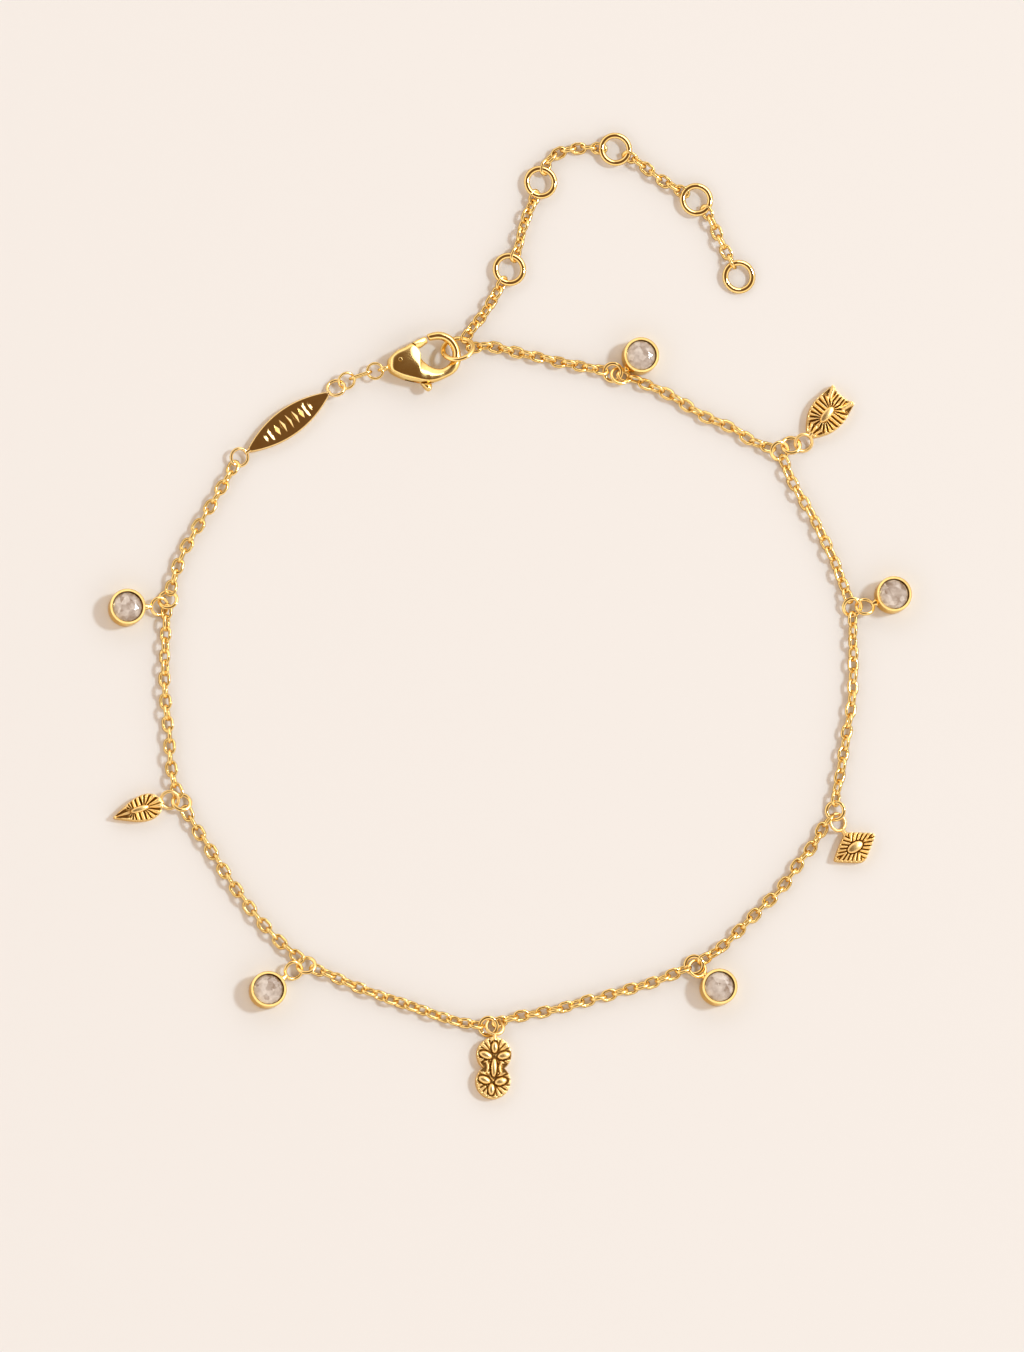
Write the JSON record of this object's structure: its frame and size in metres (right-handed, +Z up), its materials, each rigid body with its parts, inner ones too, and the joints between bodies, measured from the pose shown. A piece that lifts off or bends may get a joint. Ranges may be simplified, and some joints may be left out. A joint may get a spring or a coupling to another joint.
{
  "type": "charm anklet",
  "caption": "Closed anklet of fine gold-coloured cable chain with a pointed oval name plate, round-set crystals, cast charms, a lobster clasp and a ringed extender.",
  "frame": {"origin": "on the surface that the anklet lies on, under the middle of its box", "axes": "+Z up from the surface; +Y towards the extender's side, along the longest extent; +X to the right seen from above"},
  "size_m": [0.0894, 0.1082, 0.0027],
  "materials": {
    "gold_chain": "polished gold plate on round-wire links",
    "gold_polished": "mirror-polished gold plate",
    "gold_plate": "mirror-polished gold plate, flat face",
    "gold_cast": "cast and tumbled gold plate, dark recesses",
    "crystal": "faceted crystal, clear with a greyish mauve tint"
  },
  "bodies": {
    "root": {"chain_1": "gold_chain", "chain_2": "gold_chain", "chain_3": "gold_chain", "chain_4": "gold_chain", "chain_5": "gold_chain", "chain_6": "gold_chain", "chain_7": "gold_chain", "chain_8": "gold_chain", "chain_9": "gold_chain", "chain_10": "gold_chain", "extender_chain_1": "gold_chain", "extender_chain_2": "gold_chain", "extender_chain_3": "gold_chain", "extender_chain_4": "gold_chain", "extender_chain_5": "gold_chain", "extender_ring_1": "gold_polished", "extender_ring_2": "gold_polished", "extender_ring_3": "gold_polished", "extender_ring_4": "gold_polished", "extender_ring_5": "gold_polished", "catch_ring": "gold_polished", "crystal_left_bezel": "gold_polished", "crystal_left_stone": "crystal", "crystal_left_ring": "gold_polished", "leaf_charm": "gold_cast", "leaf_ring": "gold_polished", "crystal_low_left_bezel": "gold_polished", "crystal_low_left_stone": "crystal", "crystal_low_left_ring": "gold_polished", "flower_charm": "gold_cast", "flower_ring": "gold_polished", "crystal_low_right_bezel": "gold_polished", "crystal_low_right_stone": "crystal", "crystal_low_right_ring": "gold_polished", "rhombus_charm": "gold_cast", "rhombus_ring": "gold_polished", "crystal_right_bezel": "gold_polished", "crystal_right_stone": "crystal", "crystal_right_ring": "gold_polished", "pear_charm": "gold_cast", "pear_ring": "gold_polished", "crystal_top_bezel": "gold_polished", "crystal_top_stone": "crystal", "crystal_top_ring": "gold_polished", "pear_link": "gold_polished", "plate": "gold_plate", "clasp_link_1": "gold_polished", "clasp_link_2": "gold_polished", "clasp_link_3": "gold_polished", "clasp_body": "gold_polished", "clasp_pin": "gold_polished"},
    "lever": {"clasp_lever": "gold_polished"}
  },
  "joints": [
    {"name": "clasp_lever_hinge", "type": "hinge", "parent": "root", "child": "lever", "pos_m": [-0.01256, 0.02759, 0.0011], "axis": [0, 0, -1], "range_deg": [0, 22], "stiffness_Nm_per_rad": 0.005}
  ]
}
